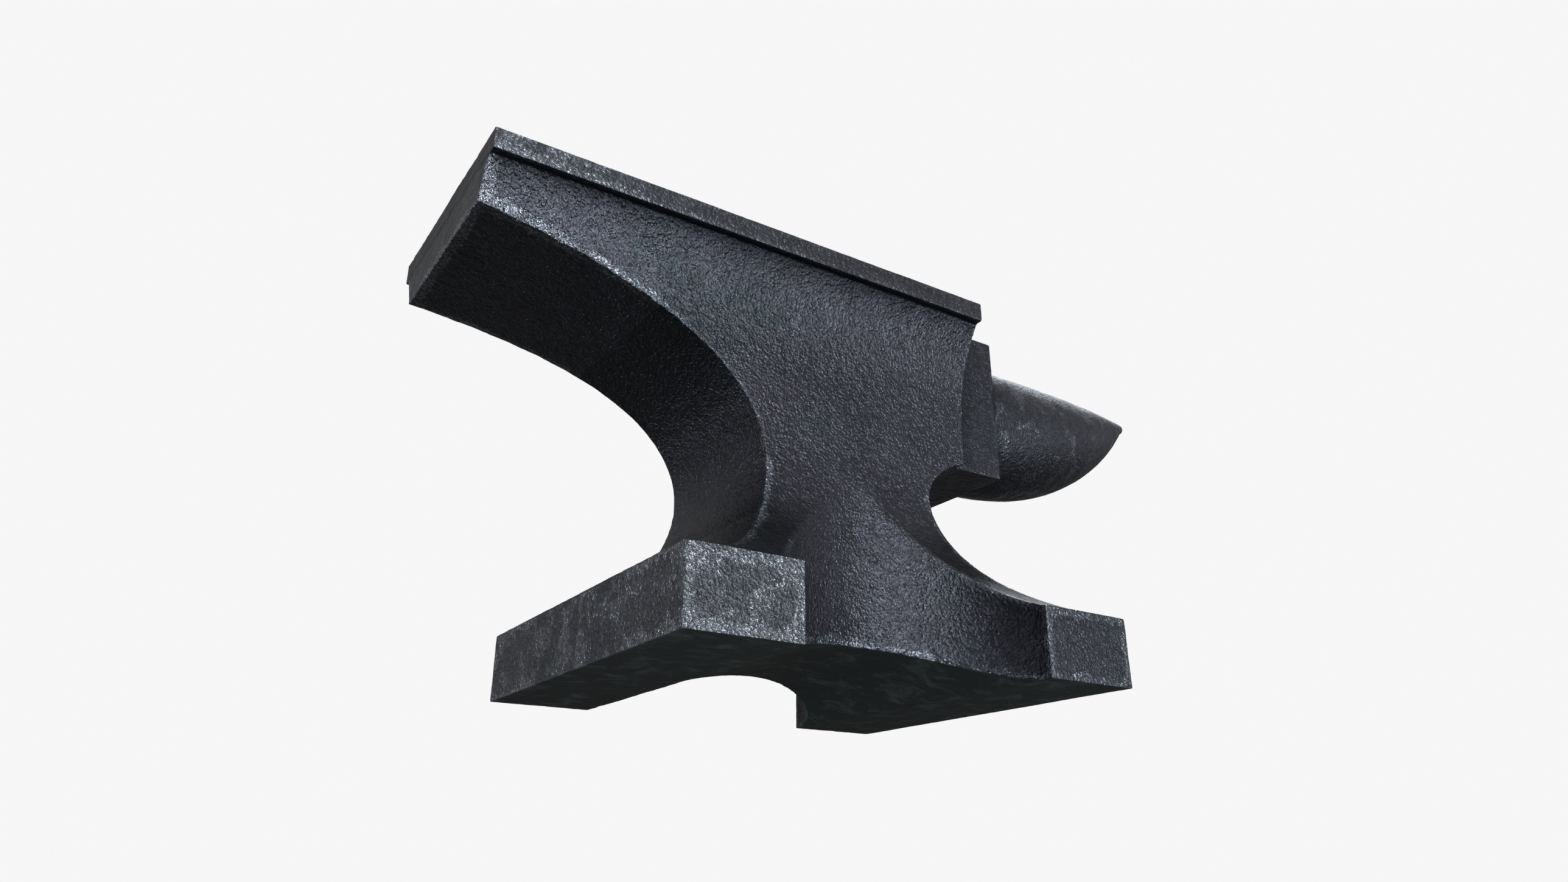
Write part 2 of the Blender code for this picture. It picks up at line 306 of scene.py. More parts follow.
def blurred(table, width):
    """The table smoothed by a bell curve of this width, in table steps, both ways."""
    reach = int(3 * width) + 1
    taps = np.exp(-0.5 * (np.arange(-reach, reach + 1) / width) ** 2)
    taps /= taps.sum()
    for _ in range(2):
        padded = np.pad(table, ((reach, reach), (0, 0)), "edge")
        table = sum(tap * padded[i : i + len(table)] for i, tap in enumerate(taps)).T
    return table


class Profile:
    """A closed outline as a table of signed distances, with its corners slightly worn."""

    def __init__(self, outline, wear=CORNER_WEAR):
        self.low = outline.min(0) - MARGIN
        counts = np.ceil((outline.max(0) + MARGIN - self.low) / PROFILE_STEP).astype(int) + 1
        u, v = (low + PROFILE_STEP * np.arange(n) for low, n in zip(self.low, counts))
        distances = outline_distance(u[:, None], v[None, :], outline)
        self.table = blurred(distances, wear / PROFILE_STEP).astype(np.float32)

    def __call__(self, u, v):
        last = np.array(self.table.shape) - 1.001
        a = np.clip((u - self.low[0]) / PROFILE_STEP, 0, last[0])
        b = np.clip((v - self.low[1]) / PROFILE_STEP, 0, last[1])
        i, j = a.astype(int), b.astype(int)
        a, b = a - i, b - j
        t = self.table
        near = t[i, j] * (1 - b) + t[i, j + 1] * b
        far = t[i + 1, j] * (1 - b) + t[i + 1, j + 1] * b
        return near * (1 - a) + far * a


def soft_max(a, b, width):
    """The larger of the two, blended where they are within this width of each other."""
    overlap = np.maximum(width - np.abs(a - b), 0)
    return np.maximum(a, b) + overlap * overlap / (4 * width)


def soft_min(a, b, width):
    return -soft_max(-a, -b, width)


def slab(x, y, z, low, high, width=EDGE_WEAR):
    """A block's field, with worn edges."""
    faces = [np.maximum(a - c, b - a) for a, b, c in zip((x, y, z), low, high)]
    return soft_max(soft_max(faces[0], faces[1], width), faces[2], width)


side_view = Profile(side_view_outline())
soft_side_view = Profile(side_view_outline(), WAIST_SOFTNESS)
end_view = Profile(end_view_outline())
recess_plan = Profile(recess_outline())


def body_field(x, y, z):
    """The body and base, with the arch and recesses cut out and the waist's ends eased."""
    across = np.abs(y)
    sharp, soft = side_view(x, z), soft_side_view(x, z)
    softness = np.exp(-(((z - END_FLARE_TOP) / WAIST_SOFT_REACH) ** 2))
    body = soft_max(sharp + softness * (soft - sharp), end_view(across, z), EDGE_WEAR)
    recess = np.maximum(recess_plan(x, across), z - RECESS_TOP)
    # The crease over the recess is softest half way up the flare.
    share = np.clip((z - FOOT_HEIGHT) / (END_FLARE_TOP - FOOT_HEIGHT), 0, 1)
    return soft_max(body, -recess, EDGE_WEAR + CREASE_WEAR * np.sin(math.pi * share) ** 1.5)


def horn_field(x, y, z):
    """The round horn: a level top line, a belly that rises to the tip, and a rounded tip."""
    length = horn_high.x - HORN_TIP_RADIUS - TABLE_END
    along = np.clip((x - TABLE_END) / length, 0, 1)
    swell = HORN_ROOT_RADIUS - HORN_TIP_RADIUS
    radius = HORN_TIP_RADIUS + swell * (1 - along**HORN_TAPER)
    slope = 2 * swell * HORN_TAPER * along ** (HORN_TAPER - 1) / length
    middle = horn_high.z - radius
    round_part = (np.sqrt(y * y + (z - middle) ** 2) - radius) / np.sqrt(1 + slope * slope / 2)
    tip_x = horn_high.x - HORN_TIP_RADIUS
    cone = np.maximum(round_part, np.maximum(x - tip_x, TABLE_END - WELD_OVERLAP - x))
    tip_z = horn_high.z - HORN_TIP_RADIUS
    tip = np.sqrt((x - tip_x) ** 2 + y * y + (z - tip_z) ** 2) - HORN_TIP_RADIUS
    return soft_min(cone, tip, WELD_FILLET)


def socket_field(x, y, z):
    """The square hardy hole and the round pritchel hole, both from the face down."""
    sides = np.maximum(np.abs(x - HARDY_X), np.abs(y)) - HARDY_HALF_WIDTH
    hardy = np.maximum(sides, FACE_HEIGHT - HARDY_DEPTH - z)
    across = np.sqrt((x - PRITCHEL_X) ** 2 + (y - PRITCHEL_Y) ** 2) - PRITCHEL_RADIUS
    return np.minimum(hardy, np.maximum(across, FACE_HEIGHT - PRITCHEL_DEPTH - z))


def anvil_field(x, y, z):
    """About the signed distance to the anvil's surface, negative in the metal."""
    plate = slab(x, y, z, (HEEL_END, plate_low.y, BODY_TOP), plate_high)
    table_start = (BODY_HORN_END - WELD_OVERLAP, table_low.y, table_low.z)
    table = slab(x, y, z, table_start, table_high)
    whole = soft_min(body_field(x, y, z), plate, WELD_FILLET)
    whole = soft_min(whole, table, WELD_FILLET)
    whole = soft_min(whole, horn_field(x, y, z), WELD_FILLET)
    return soft_max(whole, -socket_field(x, y, z), EDGE_WEAR)


# ---------------------------------------------------------------- the mesh
def piece_labels(x, y, z, field):
    """Which piece each grid point is in; 0 is air."""
    number = {name: index + 1 for index, name in enumerate(PIECES)}
    labels = np.full(field.shape, number["waist_core"], np.uint8)
    beside = np.abs(x - BASE_MIDDLE) > FOOT_INNER
    at_foot = beside & (np.abs(y) > FOOT_INSIDE_Y) & (z < RECESS_TOP)
    for end, end_side in (("heel", x < BASE_MIDDLE), ("horn", x > BASE_MIDDLE)):
        for side, y_side in (("near", y < 0), ("far", y > 0)):
            labels[at_foot & end_side & y_side] = number[f"foot_{end}_{side}"]
    upper_pieces = {
        "heel_block": x < heel_high.x,
        "face_plate": z > BODY_TOP - GRID_STEP,
        "table_block": x > BODY_HORN_END + GRID_STEP,
        "horn": x > TABLE_END + GRID_STEP,
    }
    for name, place in upper_pieces.items():
        labels[np.broadcast_to(place & (z > RECESS_TOP), field.shape)] = number[name]
    labels[field >= 0] = 0
    return labels


CORNERS = list(itertools.product((0, 1), repeat=3))
AXIS_PAIRS = ((0, 0), (1, 1), (2, 2), (0, 1), (0, 2), (1, 2))


def surface_cells(labels):
    """The grid cells whose eight corners don't all lie in the same piece."""
    first = labels[:-1, :-1, :-1]
    mixed = np.zeros(first.shape, bool)
    for corner in CORNERS[1:]:
        mixed |= first != labels[tuple(slice(c, n - 1 + c) for c, n in zip(corner, labels.shape))]
    return mixed


def weld_points(cells, labels):
    """One point for each cell: the middle of where its edges pass from piece to piece."""
    kinds = [labels[tuple((cells + corner).T)] for corner in CORNERS]
    total = np.zeros((len(cells), 3))
    count = np.zeros(len(cells))
    for a, b in itertools.combinations(range(8), 2):
        start, end = np.array(CORNERS[a]), np.array(CORNERS[b])
        if np.abs(end - start).sum() == 1:
            weld = kinds[a] != kinds[b]
            total += weld[:, None] * (start + end) / 2
            count += weld
    return cells + total / np.maximum(count, 1)[:, None]


def field_slope(points):
    """The unit slope of the field at these points."""
    slope = np.empty_like(points)
    for axis in range(3):
        step = np.zeros(3)
        step[axis] = SLOPE_REACH
        slope[:, axis] = anvil_field(*(points + step).T) - anvil_field(*(points - step).T)
    return slope / np.maximum(np.linalg.norm(slope, axis=1), 1e-12)[:, None]


def skin_crossings(field, origin, axis):
    """Where the grid's edges along this axis cross the surface: (grid places, points)."""
    low = [slice(1, -1)] * 3
    low[axis] = slice(0, -1)
    high = list(low)
    high[axis] = slice(1, None)
    places = np.argwhere((field[tuple(low)] < 0) != (field[tuple(high)] < 0))
    places += [item.start for item in low]
    ahead = places.copy()
    ahead[:, axis] += 1
    ends = origin + GRID_STEP * places, origin + GRID_STEP * ahead
    values = [field[tuple(places.T)], field[tuple(ahead.T)]]
    for _ in range(3):
        share = np.clip(values[0] / (values[0] - values[1]), 0.02, 0.98)[:, None]
        points = ends[0] + share * (ends[1] - ends[0])
        value = anvil_field(*points.T)
        before = (value < 0) == (values[0] < 0)
        ends = np.where(before[:, None], points, ends[0]), np.where(before[:, None], ends[1], points)
        values = [np.where(before, value, values[0]), np.where(before, values[1], value)]
    share = (values[0] / (values[0] - values[1]))[:, None]
    return places, ends[0] + share * (ends[1] - ends[0])


def skin_points(field, index, origin, cell_count):
    """For each cell on the surface, the point that lies best on all of its crossings' tangents, and
    the crossings' middle. The last value says which cells these are."""
    sums = np.zeros((cell_count, 13))
    for axis in range(3):
        places, points = skin_crossings(field, origin, axis)
        slopes = field_slope(points)
        pairs = [slopes[:, a] * slopes[:, b] for a, b in AXIS_PAIRS]
        reach = (slopes * (points - origin)).sum(1)
        columns = [*pairs, *(slopes * reach[:, None]).T, *(points - origin).T, np.ones(len(points))]
        others = [a for a in range(3) if a != axis]
        for a, b in ((0, 0), (-1, 0), (0, -1), (-1, -1)):
            cell = places.copy()
            cell[:, others[0]] += a
            cell[:, others[1]] += b
            owner = index[tuple(cell.T)]
            for number, column in enumerate(columns):
                sums[:, number] += np.bincount(owner, column, cell_count)
    outer = sums[:, 12] > 0
    totals = sums[outer]
    middle = totals[:, 9:12] / totals[:, 12:]
    xx, yy, zz, xy, xz, yz = (totals[:, :6] / totals[:, 12:]).T
    # A slight pull to the middle settles the cells whose tangents are nearly one plane.
    matrix = np.array([[xx, xy, xz], [xy, yy, yz], [xz, yz, zz]]).transpose(2, 0, 1)
    matrix = matrix + MIDDLE_PULL * np.eye(3)
    goal = totals[:, 6:9] / totals[:, 12:] + MIDDLE_PULL * middle
    best = np.linalg.solve(matrix, goal[:, :, None])[:, :, 0]
    return best, middle, outer


def surface_quads(labels, index):
    """(four point numbers, label on the low side, label on the high side) of every face."""
    quads, lows, highs = [], [], []
    for axis in range(3):
        others = [a for a in range(3) if a != axis]
        low = [slice(1, -1)] * 3
        low[axis] = slice(0, -1)
        high = list(low)
        high[axis] = slice(1, None)
        before, after = labels[tuple(low)], labels[tuple(high)]
        places = np.argwhere(before != after)
        ring = []
        for a, b in ((0, 0), (1, 0), (1, 1), (0, 1)):
            cell = places.copy()
            cell[:, others[0]] += a
            cell[:, others[1]] += b
            ring.append(index[tuple(cell.T)])
        quad = np.column_stack(ring)
        if axis == 1:
            quad = quad[:, ::-1]
        quads.append(quad)
        lows.append(before[tuple(places.T)])
        highs.append(after[tuple(places.T)])
    return np.concatenate(quads), np.concatenate(lows), np.concatenate(highs)


# ---------------------------------------------------------------- wear and painted light
random_source = np.random.default_rng(11)
SLOPES = random_source.normal(size=(256, 3))
SLOPES /= np.linalg.norm(SLOPES, axis=1)[:, None]


def ramp(value, start, end):
    """0 where the value is at start or short of it, rising to 1 at end."""
    return np.clip((value - start) / (end - start), 0, 1)


def noise(points, size, seed=0):
    """Smooth random values about 0, which vary over about this size."""
    place = points / size
    cell = np.floor(place).astype(np.int64)
    part = place - cell
    fade = part**3 * (part * (part * 6 - 15) + 10)
    total = np.zeros(len(points))
    for corner in CORNERS:
        key = (cell + corner) @ HASH_AXES + seed * HASH_SEED
        key ^= key >> 13
        slope = SLOPES[(key * HASH_MIX >> 11) & 255]
        weight = np.prod(np.where(corner, fade, 1 - fade), axis=1)
        total += weight * ((part - corner) * slope).sum(1)
    return total


def mesh_edges(quads):
    ends = np.concatenate([quads[:, [i, (i + 1) % 4]] for i in range(4)])
    return np.unique(np.sort(ends, axis=1), axis=0)


def spread_out(values, edges, times):
    """Each value averaged with its neighbours, again and again."""
    count = np.bincount(edges.ravel(), minlength=len(values)) + 1.0
    for _ in range(times):
        total = values.copy()
        total += np.bincount(edges[:, 0], values[edges[:, 1]], len(values))
        total += np.bincount(edges[:, 1], values[edges[:, 0]], len(values))
        values = total / count
    return values


def bends(points, normals, edges):
    """How strongly the surface turns at each point, per metre: above 0 on an edge, below 0 in a corner."""
    a, b = edges.T
    step = points[b] - points[a]
    turn = ((normals[b] - normals[a]) * step).sum(1) / np.maximum((step**2).sum(1), 1e-12)
    count = np.maximum(np.bincount(edges.ravel(), minlength=len(points)), 1)
    total = np.bincount(a, turn, len(points)) + np.bincount(b, turn, len(points))
    return total / count


def worn(points, normals, edge):
    """The points with the forging's swells, pebbles and chipped edges."""
    on_top = ramp(normals[:, 2], 0.8, 1) * (points[:, 2] > FACE_HEIGHT - TOP_DEPTH)
    swell = sum(height * noise(points, size, seed) for height, size, seed in SWELLS)
    pebble = sum(height * noise(points, size, seed) for height, size, seed in PEBBLES)
    chips = -CHIP_DEPTH * edge * np.clip(noise(points, CHIP_SIZE, CHIP_SEED) - CHIP_RARITY, 0, 1)
    push = swell * (1 - 0.6 * on_top) + pebble * (1 - 0.85 * on_top) + chips
    return points + push[:, None] * normals


def point_normals(points, quads):
    """Each point's normal from the faces round it."""
    corners = points[quads]
    across = np.cross(corners[:, 2] - corners[:, 0], corners[:, 3] - corners[:, 1])
    total = np.zeros_like(points)
    for axis in range(3):
        flow = np.repeat(across[:, axis], 4)
        total[:, axis] = np.bincount(quads.ravel(), flow, len(points))
    return total / np.maximum(np.linalg.norm(total, axis=1), 1e-15)[:, None]


def rubbed_and_painted_light(points, normals, edges, turn):
    """Where hands, tools and chains have rubbed the scale away: edges, the horn's top, the base's end. It
    also holds painted light: a painted highlight on the heel end's sides and painted shade on the end
    faces.
    """
    x, y, z = points.T
    toward_x, toward_y, up = normals.T
    rim_wear_and_painted_light = np.clip(4 * spread_out(ramp(turn, *SHARP_TURN), edges, 14), 0, 1)
    upper = ramp(z, END_FLARE_TOP, END_FLARE_TOP + 0.02)
    away_from_heel = ramp(x, HEEL_END, HEEL_END + 0.17)
    # The upper rims fade away from the heel; the end faces get less rim, as painted shade, and the heel
    # end's sides more, as a painted highlight
    rim_wear_and_painted_light *= 1 - 0.75 * upper * away_from_heel * (x < TABLE_END)
    rim_wear_and_painted_light *= 1 - 0.6 * ramp(-toward_x, 0.5, 1)
    rim_wear_and_painted_light += 0.4 * ramp(x, HEEL_END + 0.05, HEEL_END) * upper * ramp(np.abs(toward_y), 0.6, 1)
    horn_top = ramp(up, 0.2, 0.7) * (x > TABLE_END + 0.004)
    base_end = (toward_x < -0.8) & (z < FOOT_HEIGHT + 0.001) & (np.abs(y) < FOOT_INSIDE_Y)
    return np.clip(np.maximum(rim_wear_and_painted_light, np.maximum(0.8 * horn_top, 0.75 * base_end)), 0, 1)


def struck_tops(points, normals):
    """Where hammers and hot work keep the steel bright: the face, and less so the table and horn."""
    x, _, z = points.T
    up = normals[:, 2]
    facing_up = ramp(up, 0.80, 0.95)
    high = z > RECESS_TOP
    on_horn = (x > TABLE_END + 0.002) & high
    on_table = (x > BODY_HORN_END + 0.002) & (x <= TABLE_END + 0.002) & high
    struck = facing_up * (z > FACE_HEIGHT - TOP_DEPTH)
    return np.clip(struck + 0.7 * ramp(up, 0.75, 0.95) * on_horn + 0.5 * facing_up * on_table, 0, 1)


def painted_shade_mask(points, normals, edges, turn, sole, struck):
    """Painted shade: darker in corners, on the flare, at the recess's ends, under the heel and on the
    upper end faces.
    """
    x, y, z = points.T
    toward_x, toward_y, up = normals.T
    upper = ramp(z, END_FLARE_TOP, END_FLARE_TOP + 0.02)
    below_waist = ramp(z, RECESS_TOP - 0.01, RECESS_TOP - 0.04)
    # An occlusion guess: the less open air just off the surface, the more painted shade
    lifts = [anvil_field(*(points + gap * normals).T) / gap for gap in OPEN_REACHES]
    open_air = sum(np.clip(lift, 0, 1) for lift in lifts) / len(lifts)
    # Painted shade also on the upward faces of the flare below the waist
    painted_shade = ramp(open_air, 0.97, 0.52) + 0.9 * ramp(up, 0.3, 0.6) * below_waist
    beside_recess = (recess_plan(x, np.abs(y)) > 0.001) & (np.abs(toward_y) > 0.35)
    strip = beside_recess & (z > FOOT_HEIGHT + 0.001)
    painted_shade = np.maximum(painted_shade, 0.85 * strip * ramp(z, 0.080, 0.062))
    from_middle = np.abs(x - BASE_MIDDLE) / FOOT_INNER
    in_recess = (from_middle < 1.02) & (np.abs(y) < BASE_HALF_WIDTH - 0.002) & (np.abs(up) < 0.5)
    painted_shade += 0.8 * in_recess * below_waist * ramp(from_middle, 0.62, 0.92) ** 1.5
    crease = np.clip(2 * spread_out(ramp(turn, 40, 140), edges, 3), 0, 1)
    painted_shade *= (1 - 0.7 * crease) * (1 - sole)
    # Painted shade under the heel and on the upper end faces
    painted_shade += 0.5 * ramp(-up, 0.4, 0.7) * upper * (x < 0)
    painted_shade += 0.55 * ramp(-toward_x, 0.8, 0.9) * upper
    return np.clip(painted_shade * (1 - 0.8 * struck), 0, 1)


def wear_and_painted_light_values(points, normals, edges, turn, edge):
    """What the materials read at every point, each from 0 to 1: wear, and the painted shade and highlight.
    """
    struck = struck_tops(points, normals)
    sole = ramp(-normals[:, 2], 0.6, 0.85) * (points[:, 2] < ARCH_RISE + 0.004)
    return {
        "painted_shade": painted_shade_mask(points, normals, edges, turn, sole, struck),
        "sole": sole,
        "edge": edge,
        "rim_wear_and_painted_light": rubbed_and_painted_light(points, normals, edges, turn),
        # Painted shade in concave creases
        "painted_crease_shade": np.clip(3 * spread_out(ramp(-turn, *CREASE_SHADE_TURN), edges, 3), 0, 1),
        "struck": struck,
    }


def build_surface():
    """The whole anvil's points, wear and painted light, with each piece's faces by name."""
    low = np.array(cad_box[0]) - 3 * GRID_STEP
    high = np.array(cad_box[1]) + 3 * GRID_STEP
    counts = np.ceil((high - low) / GRID_STEP).astype(int) + 1
    # Centred, so that the near and far sides are alike.
    low[1] = -(counts[1] - 1) / 2 * GRID_STEP
    x, y, z = (start + GRID_STEP * np.arange(n) for start, n in zip(low, counts))
    x, y, z = x[:, None, None], y[None, :, None], z[None, None, :]
    field = anvil_field(x, y, z)
    labels = piece_labels(x, y, z, field)
    mixed = surface_cells(labels)
    cells = np.argwhere(mixed)
    index = np.full(mixed.shape, -1, np.int32)
    index[mixed] = np.arange(len(cells))
    points = low + GRID_STEP * weld_points(cells, labels)
    best, middle, outer = skin_points(field, index, low, len(cells))
    corner = GRID_STEP * cells[outer]
    best = np.where(np.abs(best - middle) < FURTHEST_PULL * GRID_STEP, best, middle)
    points[outer] = low + np.clip(best, corner, corner + GRID_STEP)
    quads, lows, highs = surface_quads(labels, index)
    skin = (lows == 0) | (highs == 0)
    skin_quads = np.where((lows == 0)[:, None], quads[:, ::-1], quads)[skin]
    normals = point_normals(points, skin_quads)
    edges = mesh_edges(skin_quads)
    turn = bends(points, normals, edges)
    edge = np.clip(spread_out(ramp(turn, *SHARP_TURN), edges, 1) * 1.4, 0, 1)
    points[outer] = worn(points[outer], normals[outer], edge[outer])
    wear = wear_and_painted_light_values(points, normals, edges, turn, edge)
    pieces = {}
    for number, name in enumerate(PIECES, 1):
        outward = quads[lows == number]
        inward = quads[highs == number][:, ::-1]
        pieces[name] = np.concatenate((outward, inward))
    return points, wear, pieces


def piece_object(name, points, wear, quads):
    """One piece as an object, smooth but for its edges."""
    used, local = np.unique(quads, return_inverse=True)
    local = local.reshape(quads.shape)
    mesh = bpy.data.meshes.new(name)
    mesh.vertices.add(len(used))
    mesh.vertices.foreach_set("co", points[used].astype(np.float32).ravel())
    mesh.loops.add(local.size)
    mesh.loops.foreach_set("vertex_index", local.astype(np.int32).ravel())
    mesh.polygons.add(len(local))
    mesh.polygons.foreach_set("loop_start", np.arange(0, local.size, 4, dtype=np.int32))
    mesh.update(calc_edges=True)
    mesh.validate()
    for label, values in wear.items():
        attribute = mesh.attributes.new(label, "FLOAT", "POINT")
        attribute.data.foreach_set("value", values[used].astype(np.float32))
    mesh.shade_smooth()
    mesh.set_sharp_from_angle(angle=SHARP_ANGLE)
    made = bpy.data.objects.new(name + "_forging", mesh)
    bpy.context.scene.collection.objects.link(made)
    return made


# ---------------------------------------------------------------- iron
def opaque(color, brightness=1.0):
    """An RGB colour as the RGBA value that a node takes."""
    return (*(brightness * channel for channel in color), 1)


class Graph:
    """Adds nodes to a material by short calls."""

    def __init__(self, material):
        material.use_nodes = True
        self.tree = material.node_tree
        self.shader = self.tree.nodes["Principled BSDF"]

    def add(self, kind, inputs=None, **settings):
        node = self.tree.nodes.new(kind)
        for key, value in settings.items():
            setattr(node, key, value)
        for key, value in (inputs or {}).items():
            self.plug(node.inputs[key], value)
        return node

    def plug(self, socket, value):
        if isinstance(value, bpy.types.NodeSocket):
            self.tree.links.new(value, socket)
        else:
            socket.default_value = value

    def shade(self, **inputs):
        """Plugs values into the shader's sockets, named with _ for a space."""
        for key, value in inputs.items():
            self.plug(self.shader.inputs[key.replace("_", " ")], value)

    def math(self, operation, a, b=0.0, clamp=False):
        return self.add("ShaderNodeMath", {0: a, 1: b}, operation=operation, use_clamp=clamp).outputs[0]

    def times(self, a, b):
        return self.math("MULTIPLY", a, b)

    def plus(self, a, b):
        return self.math("ADD", a, b)

    def minus(self, a, b):
        return self.math("SUBTRACT", a, b)

    def larger(self, a, b):
        return self.math("MAXIMUM", a, b)

    def remap(self, value, low, high, to_low=0.0, to_high=1.0):
        inputs = {"Value": value, "From Min": low, "From Max": high, "To Min": to_low, "To Max": to_high}
        return self.add("ShaderNodeMapRange", inputs, interpolation_type="SMOOTHSTEP").outputs[0]

    def mix(self, share, a, b):
        node = self.add("ShaderNodeMix", data_type="RGBA")
        for key, value in (("Factor_Float", share), ("A_Color", a), ("B_Color", b)):
            socket = next(s for s in node.inputs if s.identifier == key)
            self.plug(socket, value)
        return next(s for s in node.outputs if s.identifier == "Result_Color")

    def coords(self, stretch=None):
        """Places on the object, closer together along an axis whose stretch is large."""
        place = self.add("ShaderNodeTexCoord").outputs["Object"]
        if stretch is None:
            return place
        return self.add("ShaderNodeMapping", {"Vector": place, "Scale": stretch}).outputs[0]

    def noise(self, coords, scale, detail=3.0, roughness=0.5, distortion=0.0):
        inputs = {"Vector": coords, "Scale": scale, "Detail": detail, "Roughness": roughness}
        inputs["Distortion"] = distortion
        return self.add("ShaderNodeTexNoise", inputs).outputs["Fac"]

    # Reads a point attribute: wear, or painted shade or highlight
    def wear(self, name):
        return self.add("ShaderNodeAttribute", attribute_name=name).outputs["Fac"]


def pebble_height(graph, coords):
    """Rounded cells about 2 mm across, with grit on them."""
    wobble = graph.add("ShaderNodeTexNoise", {"Vector": coords, "Scale": 420.0, "Detail": 1.0})
    shift = {0: wobble.outputs["Color"], "Scale": 0.0012}
    shift = graph.add("ShaderNodeVectorMath", shift, operation="SCALE").outputs[0]
    shifted = graph.add("ShaderNodeVectorMath", {0: coords, 1: shift}, operation="ADD").outputs[0]
    cells = {"Vector": shifted, "Scale": 460.0, "Smoothness": 0.45}
    cell = graph.add("ShaderNodeTexVoronoi", cells, feature="SMOOTH_F1").outputs["Distance"]
    dome = graph.remap(cell, 0.60, 0.12)
    grit = graph.noise(coords, 700, 2.0, 0.6)
    return graph.plus(graph.times(dome, 0.36), graph.times(grit, 1.10))


def scale_color_with_painted_relief(graph, tone, patches, pebbles, coarse):
    """Dark forging scale, uneven, with the pebbles' relief painted in: a painted highlight on their tops
    and painted shade in the gaps.
    """
    color = graph.mix(graph.remap(patches, 0.30, 0.72), opaque(tone, 0.86), opaque(tone, 1.12))
    relief = graph.plus(graph.times(pebbles, 0.7), graph.times(coarse, 0.5))
    # Painted highlight on the pebbles' tops
    color = graph.mix(graph.remap(relief, 0.74, 0.92, 0.0, 0.24), color, opaque(tone, 1.9))
    # Painted shade in the gaps between pebbles
    return graph.mix(graph.remap(relief, 0.74, 0.56, 0.0, 0.40), color, opaque(tone, 0.35))


def bared_share(graph, pebbles, blotches, shine, patchy):
    """How bare the metal is: it spreads from the edges in patches, pebble tops first."""
    smears = graph.noise(graph.coords((0.45, 1.0, 0.8)), 75, 5.0, 0.6, 0.8)
    shift = 0.55 * patchy
    # The rim attribute carries the rubbed edges and the painted light at the heel end
    bared = graph.plus(graph.times(graph.wear("rim_wear_and_painted_light"), 0.55 * shine), blotches)
    bared = graph.remap(bared, 0.68 - shift, 0.76 - shift)
    edge_share = graph.remap(blotches, 0.42, 0.60, 0.05, shine)
    bared = graph.larger(bared, graph.times(graph.wear("edge"), edge_share))
    bared = graph.times(bared, graph.remap(pebbles, 0.50, 0.80, 0.25, 1.0))
    return graph.times(bared, graph.remap(smears, 0.56, 0.64, 1.0, 0.30))


def stained(graph, color, coords, blotches):
    """The colour with green and brown tints, painted shade in corners and creases, and the soles' grey."""
    green = graph.noise(coords, 13, 4.0, 0.6, 0.5)
    brown = graph.noise(coords, 17, 4.0, 0.6, 0.9)
    color = graph.mix(graph.remap(green, 0.54, 0.72, 0.0, 0.35), color, opaque(GREEN_TINT))
    color = graph.mix(graph.remap(brown, 0.58, 0.74, 0.0, 0.18), color, opaque(BROWN_TINT))
    # Painted shade: corners, flare and creases are darkened toward the shade colour
    dark = graph.larger(graph.times(graph.wear("painted_shade"), 0.85), graph.times(graph.wear("painted_crease_shade"), 0.75))
    color = graph.mix(dark, color, opaque(PAINTED_SHADE_COLOR))
    under = graph.mix(graph.remap(blotches, 0.48, 0.72), opaque(SOLE_DARK), opaque(SOLE_LIGHT))
    return graph.mix(graph.wear("sole"), color, under)


def struck_steel(graph, color, patches, blotches):
    """The colour with bright steel on the struck faces, finely scratched, and scale in its low spots."""
    scratches = graph.noise(graph.coords((1.0, 14.0, 1.0)), 60, 4.0, 0.7)
    steel = graph.mix(graph.remap(patches, 0.34, 0.66), opaque(STEEL_DARK), opaque(STEEL_LIGHT))
    steel = graph.mix(graph.remap(scratches, 0.45, 0.70, 0.0, 0.5), steel, opaque(SCRATCH))
    share = graph.times(graph.wear("struck"), graph.remap(blotches, 0.36, 0.50, 0.35, 0.95))
    return graph.mix(share, color, steel)


def iron(name, tone, bare, rough, relief=1.0, shine=0.5, patchy=0.0):
    """Pebbled forged iron. tone is its dark scale's colour and bare the rubbed metal's."""
    material = bpy.data.materials.new(name)
    graph = Graph(material)
    coords = graph.coords()
    pebbles = pebble_height(graph, coords)
    coarse = graph.noise(coords, 210, 1.0, 0.5)
    patches = graph.noise(coords, 26, 6.0, 0.62, 0.3)
    blotches = graph.noise(coords, 60, 6.0, 0.7, 0.6)
    painted_shade, sole, struck = (graph.wear(kind) for kind in ("painted_shade", "sole", "struck"))
    bared = bared_share(graph, pebbles, blotches, shine, patchy)
    color = scale_color_with_painted_relief(graph, tone, patches, pebbles, coarse)
    color = graph.mix(bared, color, opaque(bare))
    color = stained(graph, color, coords, blotches)
    color = struck_steel(graph, color, patches, blotches)
    roughness = graph.remap(blotches, 0.30, 0.72, rough + 0.08, rough - 0.06)
    roughness = graph.minus(roughness, graph.times(bared, 0.12))
    roughness = graph.plus(roughness, graph.times(painted_shade, 0.12))
    roughness = graph.math("ADD", roughness, graph.times(sole, 0.35), clamp=True)
    smoothed = graph.larger(graph.times(sole, 0.7), graph.times(struck, 0.85))
    height = graph.plus(pebbles, graph.times(coarse, 0.9))
    bump = {"Strength": graph.minus(1.0, smoothed), "Distance": BUMP_HEIGHT * relief, "Height": height}
    normal = graph.add("ShaderNodeBump", bump).outputs[0]
    metallic = graph.minus(0.9, graph.times(sole, 0.7))
    graph.shade(Base_Color=color, Roughness=roughness, Metallic=metallic, Normal=normal)
    return material


